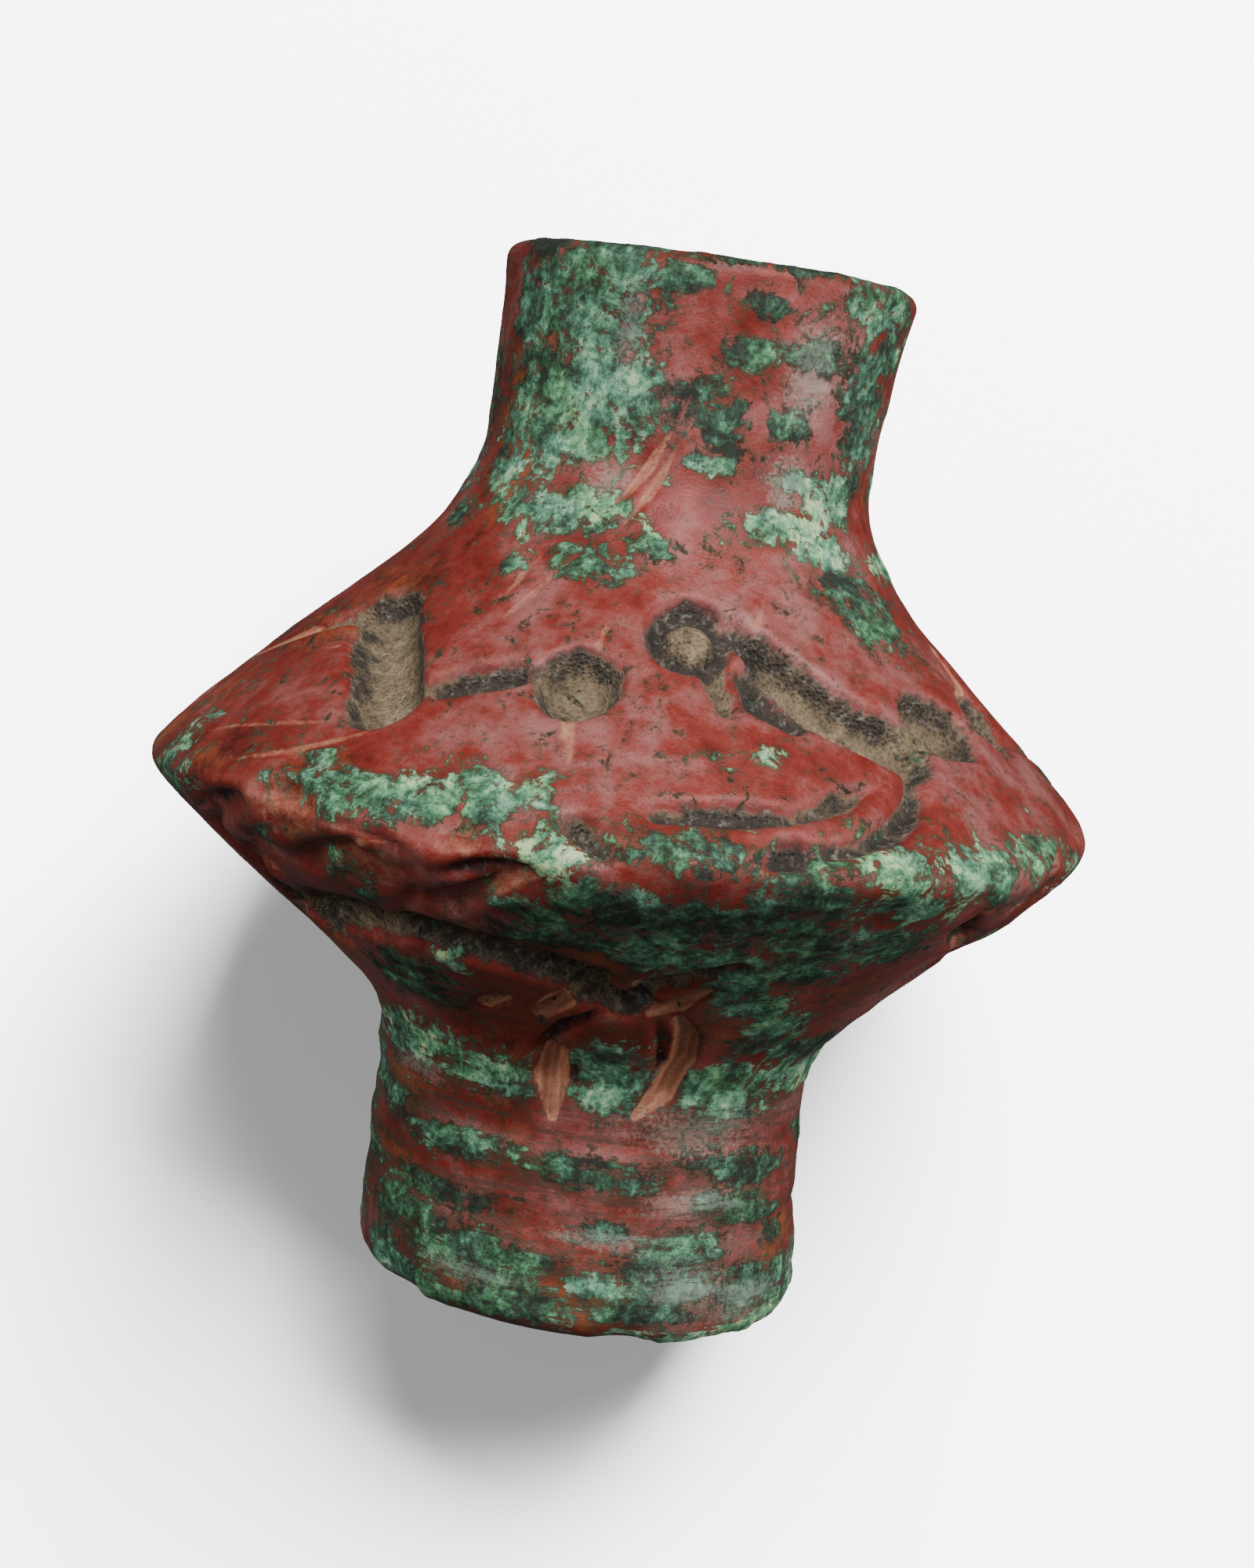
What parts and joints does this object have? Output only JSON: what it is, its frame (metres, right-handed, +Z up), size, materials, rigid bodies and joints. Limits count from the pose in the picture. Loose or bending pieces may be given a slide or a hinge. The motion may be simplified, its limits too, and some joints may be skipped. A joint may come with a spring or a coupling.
{
  "type": "biconical roller seal",
  "caption": "Solid copper roller seal: two engraved cones meeting at a ridge, a plain neck at each end, lying on its ridge and one rim.",
  "frame": {"origin": "on the floor, below the middle of the lying seal's box", "axes": "+Y along the floor towards the raised narrow neck, +Z up, +X across; the seal's own axis lies in the Y-Z plane, 22.3 degrees above +Y"},
  "size_m": [0.0216, 0.0246, 0.0197],
  "materials": {
    "copper": "satin red copper under patches of green patina, with brown earth in the cuts"
  },
  "bodies": {
    "root": {"seal": "copper"}
  },
  "joints": []
}
